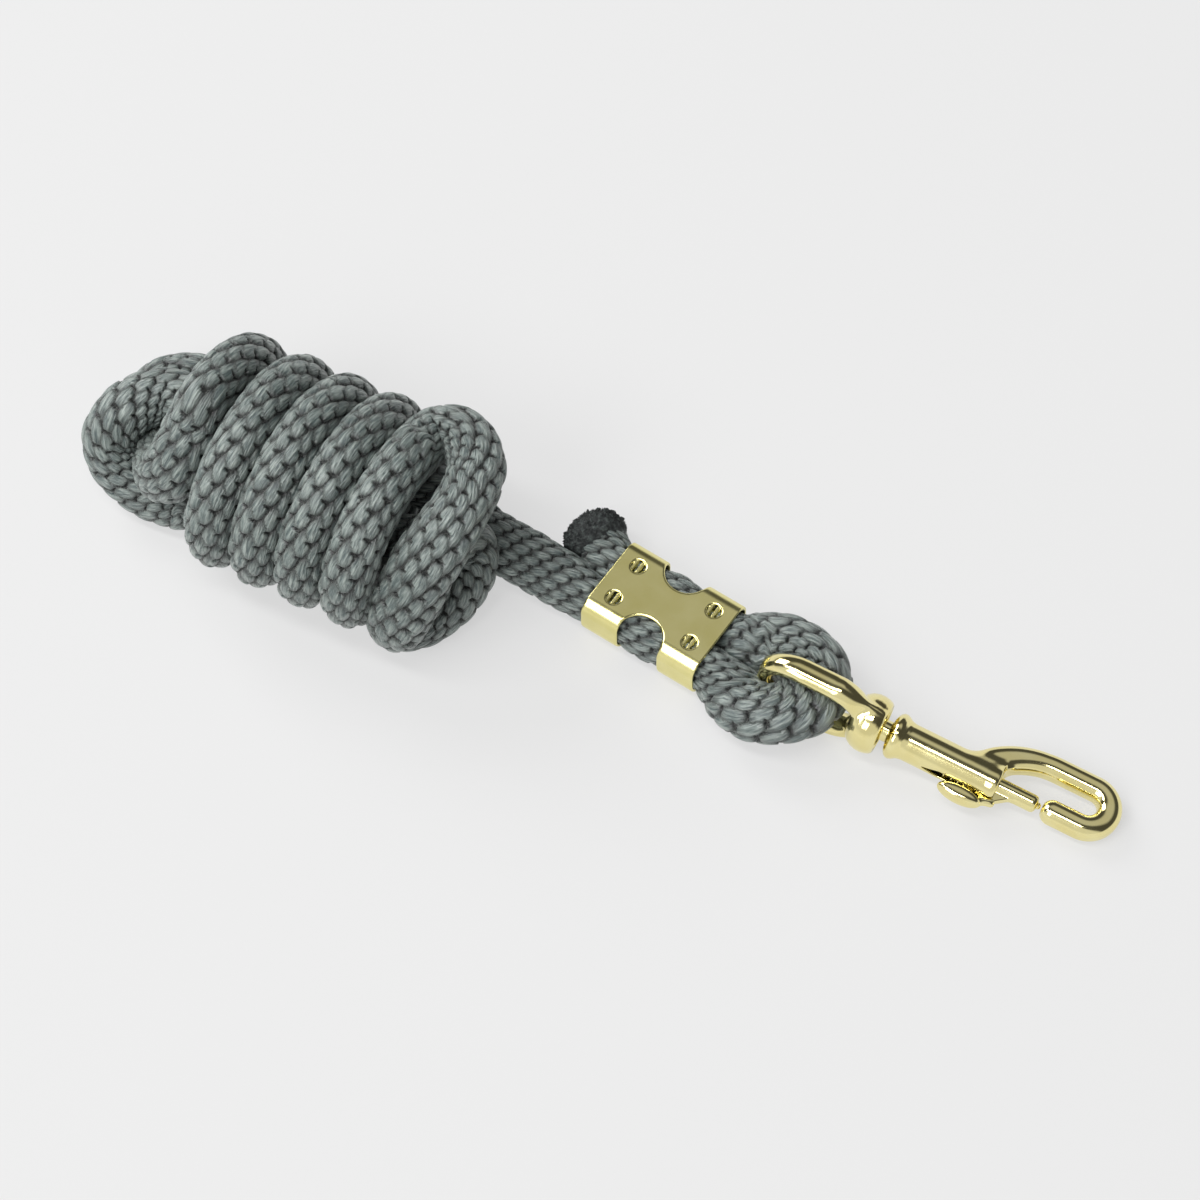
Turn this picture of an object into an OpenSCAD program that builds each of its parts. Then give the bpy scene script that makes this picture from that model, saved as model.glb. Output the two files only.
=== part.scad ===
// Horse lead rope: a braided rope tied in a hank, a stamped clamp that holds its end loop,
// and a brass swivel-eye bolt snap. It lies on a surface at z = 0, with the hook toward +X.

/* [Rope] */
// Diameter of the loose rope
rope_d = 16; // [10:0.5:20]
// Width of the hank across its turns
hank_w = 65; // [50:1:80]
// Height of the hank
hank_h = 58; // [45:1:70]

/* [Clamp] */
// Length of the clamp along the rope
clamp_len = 37; // [30:0.5:45]
// Width across both rope legs
clamp_w = 27; // [22:0.5:34]
// Height of the closed clamp
clamp_h = 16.2; // [12:0.1:20]
// Thickness of the brass sheet
sheet = 1.0; // [0.6:0.1:1.6]
// Diameter of the four tooth holes
tooth_hole_d = 4.4; // [3:0.1:6]

/* [Swivel eye] */
// Inner length of the eye along the snap
eye_len = 25; // [20:0.5:30]
// Inner width of the eye
eye_w = 14.8; // [14:0.1:20]
// Thickness of the eye's bar
eye_bar = 4.6; // [3:0.1:6]
// Breadth of the eye's bar
eye_bar_w = 7; // [5:0.1:9]
// Largest diameter of the hub
hub_d = 16.8; // [14:0.2:20]

/* [Snap] */
// Outer diameter of the barrel
barrel_d = 10.6; // [9:0.1:13]
// Bore of the barrel
bore_d = 6.5; // [5:0.1:7]
// Thickness of the hook's bar
hook_d = 6.8; // [5:0.1:8]
// Diameter of the bolt where it shows
bolt_d = 5; // [4:0.1:6]
// Travel of the bolt
bolt_travel = 12; // [8:0.5:13]

/* [Hidden] */
$fn = 48;

// Where things lie
hank_x = [-124, -29];       // ends of the wound part
hank_y = -4;                // its centre line
clamp_pos = [17, 13.3, 0];  // middle of the clamp, on the surface
clamp_turn = -7.6;          // the clamp's turn about Z
eye_pos = [65, 8, 12.5];    // middle of the eye
snap_pitch = 5.8;           // how far the hook end hangs down, degrees

// Places along the snap's own axis, measured from the middle of the eye
hub_face = 20.9;
bulb_face = 22.2;
barrel_start = 28;
bore_start = 30;
slot_start = 35;
barrel_end = 55.4;
spring_shut = 4.5;          // length of the spring with the bolt drawn back
piston_back = bore_start + spring_shut + bolt_travel;
bolt_tip = 67.9;
hook_bend = 79;             // centre of the hook's end bend
hook_reach = 12.2;          // from the bolt's axis to the middle of the hook's back

running_gap = 0.08;         // radial gap of a running fit
neck_r = 3;
head_r = 4.5;

// The rope from the hank to its end: x, y, z, then its width and height as shares of rope_d
LEAD = [
    [-31, 11.5, 11, 1, 1], [-22, 12.5, 9.2, 1, 1], [-12, 11.3, 8.3, 0.95, 1],
    [-3, 9.6, 8.2, 0.8, 0.9], [7, 8.3, 8.2, 0.78, 0.87], [16.2, 7.1, 8.2, 0.78, 0.87],
    [26, 5.8, 8.2, 0.78, 0.87], [34.5, 4.6, 8.2, 0.78, 0.87], [42, 0.5, 9, 0.82, 0.92],
    [50, -2.9, 10.6, 0.85, 0.92], [57, -2, 12.4, 0.87, 0.89], [61.5, 2.6, 12.7, 0.87, 0.87],
    [62.8, 8, 12.7, 0.87, 0.87], [61.5, 13.4, 12.7, 0.87, 0.87], [57, 18.2, 12.4, 0.87, 0.89],
    [50, 19.2, 10.6, 0.85, 0.92], [43, 18.4, 9, 0.82, 0.92], [36.2, 17, 8.2, 0.78, 0.87],
    [26, 18.4, 8.2, 0.78, 0.87], [18, 19.5, 8.2, 0.78, 0.87], [8, 20.8, 8.2, 0.78, 0.87],
    [-0.5, 22, 8.2, 0.8, 0.9], [-6, 24.3, 8.2, 0.95, 0.99], [-11, 27.5, 8.5, 1, 1]
];

function knot(i) = LEAD[min(max(i, 0), len(LEAD) - 1)];

// A smooth curve through the points, so that the rope has no corners
function along(i, t) =
    let (a = knot(i - 1), b = knot(i), c = knot(i + 1), d = knot(i + 2))
    0.5 * ((2 * b) + (c - a) * t + (2 * a - 5 * b + 4 * c - d) * t * t
           + (3 * b - a - 3 * c + d) * t * t * t);

// One ring of a level-going rope: across is level, and the other way is square to both
function ring(p, q, sides) =
    let (d = [q[0] - p[0], q[1] - p[1], q[2] - p[2]],
         run = norm([d[0], d[1]]),
         across = [-d[1], d[0], 0] / run,
         up = cross(across, d) / norm(d) * -1)
    [for (k = [0 : sides - 1])
        let (a = 360 * k / sides)
        [p[0], p[1], p[2]] + rope_d / 2 * (across * p[3] * cos(a) + up * p[4] * sin(a))];

// Closes a list of rings into one solid
module skin(rings) {
    sides = len(rings[0]);
    last = len(rings) - 1;
    points = [for (r = rings) each r];
    walls = [for (i = [0 : last - 1], k = [0 : sides - 1])
        let (j = (k + 1) % sides, a = i * sides, b = a + sides)
        [a + k, b + k, b + j, a + j]];
    start = [for (k = [0 : sides - 1]) k];
    end = [for (k = [sides - 1 : -1 : 0]) last * sides + k];
    polyhedron(points, concat([start], walls, [end]));
}

module in_clamp() {
    translate(clamp_pos) rotate([0, 0, clamp_turn]) children();
}

// The snap's frame: its axis is X, the hook lies in its XY plane
module in_snap() {
    translate(eye_pos) rotate([0, snap_pitch, 0]) children();
}

// Turns a profile drawn as [place, radius] about the snap's axis
module turned() {
    rotate([90, 0, 90]) rotate_extrude() mirror([1, -1]) children();
}

module rounded(w, h, r) {
    translate([-w / 2 + r, -h / 2]) square([w - 2 * r, h]);
    translate([-w / 2, -h / 2 + r]) square([w, h - 2 * r]);
    for (x = [-1, 1], y = [-1, 1])
        translate([x * (w / 2 - r), y * (h / 2 - r)]) circle(r);
}

// Outer shape of the coiled rope: the wound part, and the bight and tail at its left end
module rope_hank() {
    flats = 28;
    length = hank_x[1] - hank_x[0];
    section = [for (k = [0 : flats - 1])
        let (a = 360 * (k + 0.5) / flats)
        [hank_y + hank_w / 2 * cos(a), hank_h / 2 * (1 + sin(a) / cos(180 / flats))]];
    color([0.33, 0.4, 0.38]) {
        intersection() {
            translate([hank_x[0], 0, 0]) rotate([90, 0, 90]) linear_extrude(length) polygon(section);
            translate([hank_x[0] + length / 2, hank_y, -1])
                linear_extrude(hank_h + 2) rounded(length, hank_w + 1, 18);
        }
        translate([-129.5, -8.5, 2]) linear_extrude(34) rounded(45, 34, 14);
        translate([-129.5, 4, 0.4]) linear_extrude(17) rounded(43, 48, 16);
    }
}

module rope_lead() {
    last = len(LEAD) - 2;
    steps = 3;
    path = concat([for (i = [0 : last], s = [0 : steps - 1]) along(i, s / steps)], [knot(last + 1)]);
    n = len(path) - 1;
    rings = [for (i = [0 : n])
        let (back = path[max(i - 1, 0)], fore = path[min(i + 1, n)], shift = fore - back)
        ring(path[i], path[i] + shift, 12)];
    color([0.3, 0.36, 0.35]) skin(rings);
}

// Melted cap that closes the cut end of the rope
module rope_tail_seal() {
    dome = 4.5;
    dome_r = 10.5;
    end = knot(len(LEAD) - 1);
    before = knot(len(LEAD) - 2);
    turn = atan2(end[1] - before[1], end[0] - before[0]);
    color([0.12, 0.14, 0.14])
        translate([end[0], end[1], end[2]]) rotate([0, 0, turn]) rotate([0, 90, 0])
            intersection() {
                cylinder(d = rope_d - 0.2, h = rope_d / 2);
                translate([0, 0, dome - dome_r]) sphere(dome_r);
            }
}

// One tooth bent down from the edge of its hole
module tooth() {
    thick = 0.9;
    translate([1.7, 0, clamp_h - sheet / 2])
        rotate([90, 0, 90]) linear_extrude(thick)
            polygon([[-1.6, 0], [1.6, 0], [0.2, -4.6], [-0.2, -4.6]]);
}

// One stamped sheet, wrapped round both legs of the rope, open along its underside
module rope_clamp() {
    corner = 4.5;
    notch_r = 6.5;
    teeth_x = 12.5;
    teeth_y = 6;
    seam = 4;
    color([0.83, 0.74, 0.45]) in_clamp() {
        difference() {
            translate([-clamp_len / 2, 0, clamp_h / 2]) rotate([90, 0, 90]) linear_extrude(clamp_len)
                difference() {
                    rounded(clamp_w, clamp_h, corner);
                    rounded(clamp_w - 2 * sheet, clamp_h - 2 * sheet, corner - sheet);
                }
            translate([-clamp_len, -seam / 2, -1]) cube([2 * clamp_len, seam, clamp_h / 2]);
            translate([-notch_r, -clamp_w, -1]) cube([2 * notch_r, 2 * clamp_w, clamp_h / 2 + 1]);
            for (side = [-1, 1])
                translate([0, side * (clamp_w / 2 - 1.2), -1]) cylinder(r = notch_r, h = clamp_h + 2);
            for (x = [-1, 1], y = [-1, 1])
                translate([x * teeth_x, y * teeth_y, clamp_h / 2]) cylinder(d = tooth_hole_d, h = clamp_h);
        }
        for (x = [-1, 1], y = [-1, 1], side = [0, 180])
            translate([x * teeth_x, y * teeth_y, 0]) rotate([0, 0, side]) tooth();
    }
}

// Half of the eye's rounded end, drawn toward +X
module eye_bend(radius) {
    rotate([90, 0, 0]) rotate([0, 0, -90]) rotate_extrude(angle = 180)
        translate([radius, 0]) rounded(eye_bar, eye_bar_w, 1.8);
}

module swivel_eye() {
    radius = eye_w / 2 + eye_bar / 2;
    straight = eye_len - eye_w;
    hub_start = 11.6;
    lip_r = 7.3;
    counterbore_r = 5.7;
    color([0.83, 0.74, 0.45]) in_snap() {
        difference() {
            union() {
                for (side = [0, 180])
                    rotate([0, side, 0]) translate([straight / 2, 0, 0]) eye_bend(radius);
                for (side = [-1, 1])
                    translate([-straight / 2, 0, side * radius]) rotate([90, 0, 90])
                        linear_extrude(straight) rounded(eye_bar_w, eye_bar, 1.8);
                turned() polygon(concat(
                    [[hub_start, 0], [hub_start, 5.2], [hub_start + 1.4, 7]],
                    [for (a = [50 : -20 : -50])
                        [17 - 3.4 * sin(a), hub_d / 2 - 3.4 + 3.4 * cos(a)]],
                    [[hub_face - 0.3, lip_r], [hub_face, lip_r - 0.4], [hub_face, 0]]));
            }
            turned() square([hub_face + 1, neck_r + running_gap]);
            turned() translate([hub_face - 3.6, 0]) square([5, counterbore_r]);
            turned() translate([hub_start - 1, 0]) square([2.8, head_r + 0.4]);
        }
    }
}

// The hook's round bar, bent to a radius about a centre in the hook's plane
module bend(centre, radius, from, sweep) {
    translate([centre[0], centre[1], 0]) rotate([0, 0, from]) rotate_extrude(angle = sweep)
        translate([radius, 0]) circle(d = hook_d);
}

module hook() {
    back_radius = 24;
    back_start = 68;
    back_sweep = 55;
    tip = bolt_tip + 0.1 + hook_d / 2;
    bend([back_start, hook_reach - back_radius], back_radius, 90, back_sweep);
    translate([back_start, hook_reach, 0]) rotate([0, 90, 0])
        cylinder(d = hook_d, h = hook_bend - back_start);
    bend([hook_bend, hook_reach / 2], hook_reach / 2, -90, 180);
    translate([tip, 0, 0]) rotate([0, 90, 0]) cylinder(d = hook_d, h = hook_bend - tip);
    translate([tip, 0, 0]) sphere(d = hook_d);
}

// Neck, barrel and open hook, cast in one and headed over inside the eye's hub
module snap_body() {
    slot_w = 3.2;
    head_face = 11.7;
    color([0.83, 0.74, 0.45]) in_snap() {
        difference() {
            union() {
                turned() polygon([
                    [head_face, 0], [head_face, head_r - 0.8], [head_face + 0.8, head_r],
                    [head_face + 1.6, head_r], [head_face + 1.6, neck_r], [bulb_face, neck_r],
                    [bulb_face, 5.4], [bulb_face + 0.9, 6.4], [bulb_face + 2.2, 6.7], [bulb_face + 3.4, 6.4],
                    [barrel_start, barrel_d / 2], [barrel_end - 1, barrel_d / 2],
                    [barrel_end, barrel_d / 2 - 0.6], [barrel_end, 0]]);
                hook();
            }
            turned() translate([bore_start, 0]) square([bolt_tip - bore_start, bore_d / 2]);
            translate([slot_start, -barrel_d, -slot_w / 2]) cube([bolt_tip - slot_start, barrel_d, slot_w]);
        }
    }
}

// Plunger, the fin that runs in the slot, and the boat-shaped thumb knob
module bolt() {
    fin_w = 2.4;
    knob_len = 12.1;
    knob_out = 9.6;
    knob_in = barrel_d / 2 + 0.3;
    knob_deep = knob_out - knob_in;
    knob_arc = (pow(knob_len / 2, 2) + pow(knob_deep, 2)) / (2 * knob_deep);
    color([0.83, 0.74, 0.45]) in_snap() {
        turned() polygon([
            [piston_back, 0], [piston_back, bore_d / 2 - running_gap],
            [barrel_end - 0.6, bore_d / 2 - running_gap], [barrel_end, bolt_d / 2],
            [bolt_tip - 2, bolt_d / 2], [bolt_tip - 0.9, bolt_d / 2 - 0.6],
            [bolt_tip - 0.3, bolt_d / 2 - 1.5], [bolt_tip, 0.6], [bolt_tip, 0]]);
        translate([0, 0, -fin_w / 2]) linear_extrude(fin_w)
            polygon([[47.6, -1], [47.6, -6.4], [53.5, -6.8], [56, -5.4], [60, -2.3], [60, -1]]);
        intersection() {
            translate([47, 0, -3]) linear_extrude(6) intersection() {
                translate([0, knob_arc - knob_out]) circle(knob_arc, $fn = 96);
                translate([-knob_len, -knob_out]) square([2 * knob_len, knob_deep]);
            }
            translate([40, -6.2, 0]) rotate([0, 90, 0]) cylinder(r = 3.4, h = 14);
        }
    }
}

module bolt_spring() {
    wire_r = 0.35;
    coil_r = 2.6;
    turns = 7;
    per_turn = 12;
    first = bore_start + 0.4;
    span = piston_back - first - 0.45;
    rings = [for (i = [0 : turns * per_turn])
        let (a = 360 * i / per_turn, s = first + span * i / (turns * per_turn))
        [for (k = [0 : 5])
            let (w = 60 * k, r = coil_r + wire_r * cos(w))
            [s + wire_r * sin(w), r * cos(a), r * sin(a)]]];
    color("silver") in_snap() skin(rings);
}

rope_hank();
rope_lead();
rope_tail_seal();
rope_clamp();
swivel_eye();
snap_body();
bolt();
bolt_spring();
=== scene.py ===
"""Looks of the horse lead rope: braided rope in a tied hank, stamped clamp and brass bolt snap.

Lengths are in millimetres until a mesh is made, which turns them into metres with MM.
"""

import bpy
import numpy as np
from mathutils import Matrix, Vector


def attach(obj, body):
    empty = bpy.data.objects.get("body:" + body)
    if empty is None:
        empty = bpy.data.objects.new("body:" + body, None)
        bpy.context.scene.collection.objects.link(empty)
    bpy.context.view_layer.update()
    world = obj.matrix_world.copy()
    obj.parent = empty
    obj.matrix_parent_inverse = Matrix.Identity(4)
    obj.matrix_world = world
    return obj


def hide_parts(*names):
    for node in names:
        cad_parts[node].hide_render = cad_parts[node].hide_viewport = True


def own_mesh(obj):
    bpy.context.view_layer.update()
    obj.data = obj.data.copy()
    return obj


MM = 0.001
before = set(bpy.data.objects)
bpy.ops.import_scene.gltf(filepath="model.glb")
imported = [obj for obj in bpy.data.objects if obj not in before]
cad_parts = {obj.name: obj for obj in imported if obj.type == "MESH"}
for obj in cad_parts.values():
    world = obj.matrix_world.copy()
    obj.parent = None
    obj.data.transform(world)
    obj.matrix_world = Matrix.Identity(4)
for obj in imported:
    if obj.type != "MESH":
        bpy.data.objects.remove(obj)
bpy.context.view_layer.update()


# ---------------------------------------------------------------- camera

FOCAL_LENGTH = 108  # of a lens on a sensor this wide, both in millimetres
SENSOR_WIDTH = 36
CAMERA_PLACE = (0.2269, -0.4385, 0.866)  # metres
CAMERA_TARGET = (-0.0024, 0.013, 0.0037)


def look_at(obj, target):
    """Points a camera's or lamp's -Z axis at a place."""
    way = Vector(target) - obj.location
    obj.rotation_euler = way.to_track_quat("-Z", "Y").to_euler()


def add_object(name, data):
    """Puts new data, such as a mesh or a lamp, into the scene."""
    obj = bpy.data.objects.new(name, data)
    bpy.context.scene.collection.objects.link(obj)
    return obj


def add_camera():
    lens = bpy.data.cameras.new("camera")
    lens.lens = FOCAL_LENGTH
    lens.sensor_width = SENSOR_WIDTH
    lens.clip_start = 0.01
    lens.clip_end = 100
    camera = add_object("camera", lens)
    camera.location = CAMERA_PLACE
    look_at(camera, CAMERA_TARGET)
    bpy.context.scene.camera = camera


add_camera()


# ---------------------------------------------------------------- the rope's route

ROPE_R = 8.0
ROUTE_STEP = 0.5    # from one point of the finished route to the next
KNOT_SAMPLES = 24   # points of the curve between two knots, before they are spaced evenly
# Each point is x, y, z, then half the rope's width and half its height there.
# From the sealed tail through the clamp, round the eye, back through the clamp to the hank
LEAD = [
    (-11, 27.5, 8.6, 8.2, 8.2), (-6, 24.3, 8.2, 7.8, 8), (-0.5, 22, 8.2, 6.6, 7.4),
    (8, 20.8, 8.2, 6.2, 7), (17.5, 20, 8.2, 7, 7.3), (26, 18.4, 8.2, 6.2, 7),
    (36.2, 17, 8.2, 6.4, 7.2), (41, 16.6, 8.8, 8.2, 7.8), (45.5, 17.9, 9.8, 9, 7.6),
    (50.5, 19.5, 11.2, 8.6, 7.4), (56, 19.1, 12.3, 8.6, 7.2), (60.6, 16.9, 12.6, 9.2, 7.2),
    (63.2, 12.8, 12.7, 10.4, 7.2), (63.8, 8.2, 12.7, 11, 7.2), (63.3, 4, 12.7, 10.4, 7.2),
    (61.4, 0.6, 12.6, 9.2, 7.2), (57.4, -2.4, 12.3, 8.6, 7.2), (52.5, -3.3, 11.2, 8.6, 7.4),
    (46.8, -1.2, 9.8, 9, 7.6), (42, 1.6, 8.8, 8.2, 7.8), (34.5, 4.6, 8.2, 6.4, 7.2),
    (26, 5.8, 8.2, 6.2, 7), (16.2, 6.8, 8.2, 7, 7.3), (7, 8.3, 8.2, 6.2, 7),
    (-3, 9.6, 8.2, 6.6, 7.4), (-12, 11.3, 8.3, 8, 8), (-22, 12.5, 9.2, 8.3, 8), (-31, 12.5, 11, 8.3, 8),
]
# Along the middle of the hank and round its left end
CORE = [
    (-39, 12.5, 14, 8, 8), (-47, 14.5, 18, 8, 8), (-55, 15.5, 22, 8, 8), (-62, 13, 26, 7.5, 8),
    (-69.5, 8.5, 28, 6.8, 8), (-80, 4.5, 27, 6.8, 8),
    (-98, 4, 27, 6.8, 8), (-116, 4, 27.5, 7.5, 8), (-126, 5, 28, 8, 8), (-133, 5, 27.6, 8, 8),
    (-139, 1, 27, 8, 8), (-142.5, -4.2, 25.5, 8, 8), (-144.2, -8.6, 22, 8, 8),
    (-144, -11.2, 18.5, 8, 8), (-140.6, -14, 14, 8, 8), (-134, -15.4, 11, 8, 8),
    (-127, -15.5, 9, 8, 8), (-119, -14.5, 9.8, 8, 8), (-111, -13.5, 15, 7.5, 8),
    (-104, -12, 21.5, 7, 8), (-96, -10, 26, 6.8, 8), (-82, -9, 28, 6.8, 8),
    (-66, -9, 28, 6.8, 8), (-52, -7.5, 28, 7.5, 8),
]
# Out at the right end, down under the hank, up its front and over into the first turn
RISE = [
    (-43, -1, 26.5, 8, 8), (-37.5, 2.5, 21.5, 8, 8), (-36, -0.5, 17, 8, 8), (-36.3, -5, 13.5, 8, 8),
    (-38.6, -11, 10, 8, 8), (-42.5, -17.5, 8.4, 8, 8), (-46, -22.8, 11.5, 8.2, 7.8),
    (-44.6, -25.6, 19, 8.8, 7.6), (-42.6, -23.8, 28, 9.4, 7.4), (-40.6, -17.6, 37, 9.5, 7.4),
    (-38.4, -7.8, 43, 9, 7.6), (-37.8, 1.4, 45, 8.3, 7.8), (-39.2, 12, 45.8, 8, 8),
    (-44.3, 18, 46.2, 8, 8), (-50, 19.8, 46.2, 7.8, 8), (-55, 17, 45.6, 7.6, 8),
]
# From the last turn through the bight at the left end, and back to the sealed far end
FAR = [
    (-114.9, -9, 45.5, 8, 8), (-115.8, -15, 40, 8.4, 8), (-118.3, -18.2, 32.5, 8.7, 8),
    (-122.5, -17, 25, 8.4, 8), (-127.5, -11, 18.5, 8, 8), (-133, -3.5, 12.5, 8, 8),
    (-138.5, 2.5, 9, 8, 8), (-143.2, 8, 8.3, 8, 8), (-145.3, 13, 8.5, 8, 8),
    (-144.6, 17.6, 8.7, 8, 8), (-141, 21.2, 8.7, 8, 8), (-135.2, 23.4, 8.6, 8, 8),
    (-129, 24, 8.5, 8, 8),
]
TURN_TOPS = [-56.8, -70.8, -84.8, -98.8, -114.5]  # x where each turn passes over the top
TURN_CENTRE = (-3.0, 29.0)  # y and z
TURN_R = (25.5, 21.0)       # half the width and height of a turn's middle line
TURN_HALF = (7.4, 8.0)      # half the rope's own width and height in a turn
# Angles in a turn: 0 is at the back, 90 at the top, 180 at the front and 270 underneath
TURN_STEP = 12
OVER_FROM, OVER_TO = 22, 202    # the part of a turn that shows, over the back, top and front
FIRST_FROM = 58                 # where the rope joins the first turn
LAST_TO = 95                    # where it leaves the last one
OVER_SHIFT = -2.5 / 180         # how x changes on the way over, per degree


def turn_point(degrees, x):
    a = np.radians(degrees)
    y = TURN_CENTRE[0] + TURN_R[0] * np.cos(a)
    z = TURN_CENTRE[1] + TURN_R[1] * np.sin(a)
    return (x, y, z, *TURN_HALF)


def over_x(degrees, top):
    """Where a turn is along X on its way over, for one that passes over the top at x = top."""
    return top + (degrees - 90) * OVER_SHIFT


def turns():
    """The wound turns: over the back and top, down the front, and under to the next one."""
    points = []
    last_turn = len(TURN_TOPS) - 1
    for n, top in enumerate(TURN_TOPS):
        first = FIRST_FROM if n == 0 else OVER_FROM
        last = LAST_TO if n == last_turn else OVER_TO
        points += [turn_point(d, over_x(d, top)) for d in range(first, last, TURN_STEP)]
        if n < last_turn:
            start = over_x(OVER_TO, top)
            end = over_x(OVER_FROM, TURN_TOPS[n + 1])
            points += [
                turn_point(d, start + (end - start) * (d - OVER_TO) / 180)
                for d in range(OVER_TO, OVER_FROM + 360, TURN_STEP)
            ]
    return points


def smooth_line(knots, step):
    """A Catmull-Rom curve through the knots, then points a step apart along it."""
    k = np.array(knots, float)
    k = np.vstack([2 * k[0] - k[1], k, 2 * k[-1] - k[-2]])
    gaps = np.linalg.norm(np.diff(k[:, :3], axis=0), axis=1) ** 0.5
    t = np.concatenate([[0], np.cumsum(gaps)])
    rows = []
    for i in range(1, len(k) - 2):
        p0, p1, p2, p3 = k[i - 1 : i + 3]
        t0, t1, t2, t3 = t[i - 1 : i + 3]
        s = np.linspace(t1, t2, KNOT_SAMPLES, endpoint=False)[:, None]
        a1 = (t1 - s) / (t1 - t0) * p0 + (s - t0) / (t1 - t0) * p1
        a2 = (t2 - s) / (t2 - t1) * p1 + (s - t1) / (t2 - t1) * p2
        a3 = (t3 - s) / (t3 - t2) * p2 + (s - t2) / (t3 - t2) * p3
        b1 = (t2 - s) / (t2 - t0) * a1 + (s - t0) / (t2 - t0) * a2
        b2 = (t3 - s) / (t3 - t1) * a2 + (s - t1) / (t3 - t1) * a3
        rows.append((t2 - s) / (t2 - t1) * b1 + (s - t1) / (t2 - t1) * b2)
    line = np.vstack([*rows, k[-2][None]])
    far = np.concatenate([[0], np.cumsum(np.linalg.norm(np.diff(line[:, :3], axis=0), axis=1))])
    places = np.linspace(0, far[-1], int(far[-1] / step) + 1)
    return sampled(line, far, places), places


def sampled(table, known, wanted):
    """Each column of a table at the wanted places, from its rows at the known ones."""
    return np.stack([np.interp(wanted, known, column) for column in table.T], 1)


def blurred(values, width):
    """Each column evened out over a number of samples."""
    n = int(width) * 2 + 1
    kernel = np.hanning(n + 2)[1:-1]
    kernel /= kernel.sum()
    padded = np.pad(values, ((n // 2, n // 2), (0, 0)), mode="reflect", reflect_type="odd")
    return np.stack([np.convolve(padded[:, c], kernel, "valid") for c in range(values.shape[1])], 1)


# ---------------------------------------------------------------- the braid

AROUND = 18          # columns of stitches round the rope
PITCH = 6.9          # from one stitch to the next in its column, on straight rope
COLUMN = 0.4263      # angle from one column to the next, radians
SLANT = -0.2314      # how far a column turns per stitch, radians
GRID_AROUND = 144    # mesh points round the rope
GRID_ALONG = 18      # mesh rings per stitch
STITCH_DEPTH = 1.9   # from the crest of a stitch down to the pits between stitches
CREST = 0.25         # how far the crests stand past the rope's nominal radius
WIDEST_AT = 0.25     # the place along a stitch, from -1 to 1, where it is widest
BEND_BLUR = 24       # route points each way over which the bend is evened out
MOST_TIGHT = 0.45    # the tightest bend, as rope radius over bend radius, that stitches follow
NEIGHBOURS = (-2, -1, 0, 1, 2)  # stitches each way that can reach a place


def noise(a, b, salt):
    """A repeatable number from 0 to 1 for each pair of whole numbers."""
    x = np.sin(a * 127.1 + (b % AROUND) * 311.7 + salt * 74.7) * 43758.5453
    return x - np.floor(x)


def stitch_form(opened, in_hank):
    """A stitch's half length, half width and lean, and which way its top end faces.

    opened is 0 where the rope lies straight and 1 where a bend draws the stitches out longer
    and straighter."""
    half_long = np.where(in_hank, 4.9, 4.4 + 0.6 * opened)
    half_wide = np.where(in_hank, 1.85, 1.8 - 0.1 * opened)
    lean = np.where(in_hank, 0.08 * opened - 0.1 * (1 - opened), -0.3)
    facing = np.where(in_hank, 1.0, -1.0)
    return half_long, half_wide, lean, facing


def stitch_height(along_it, across_it, half_wide, lift):
    """The domed height of a stitch, at a place from -1 to 1 along it and in millimetres across.

    A stitch is widest near the end that lies on top, and tapers at the tucked end."""
    upper = along_it > WIDEST_AT
    to_end = np.abs(along_it - WIDEST_AT) / np.where(upper, 1 - WIDEST_AT, 1 + WIDEST_AT)
    narrowing = np.clip(1 - to_end**2, 0, 1) ** np.where(upper, 0.6, 0.9)
    wide = half_wide * narrowing + 1e-6
    dome = np.clip(1 - np.abs(across_it / wide) ** 2.2, 0, 1) ** 0.6
    sink = 1 - np.where(upper, 0.15, 0.8) * to_end**2
    return lift * (0.35 + 0.65 * dome) * (dome > 0) * sink


def hollow_past(along_it, across_it, half_wide):
    """The hollow, from 0 to 1, that a stitch's yarn dives into past its top end."""
    middle = 0.99 - 0.1 * (across_it / half_wide) ** 2
    inside = 1 - ((along_it - middle) / 0.1) ** 2 - (across_it / 1.15) ** 2
    return np.clip(inside, 0, 1)


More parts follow.
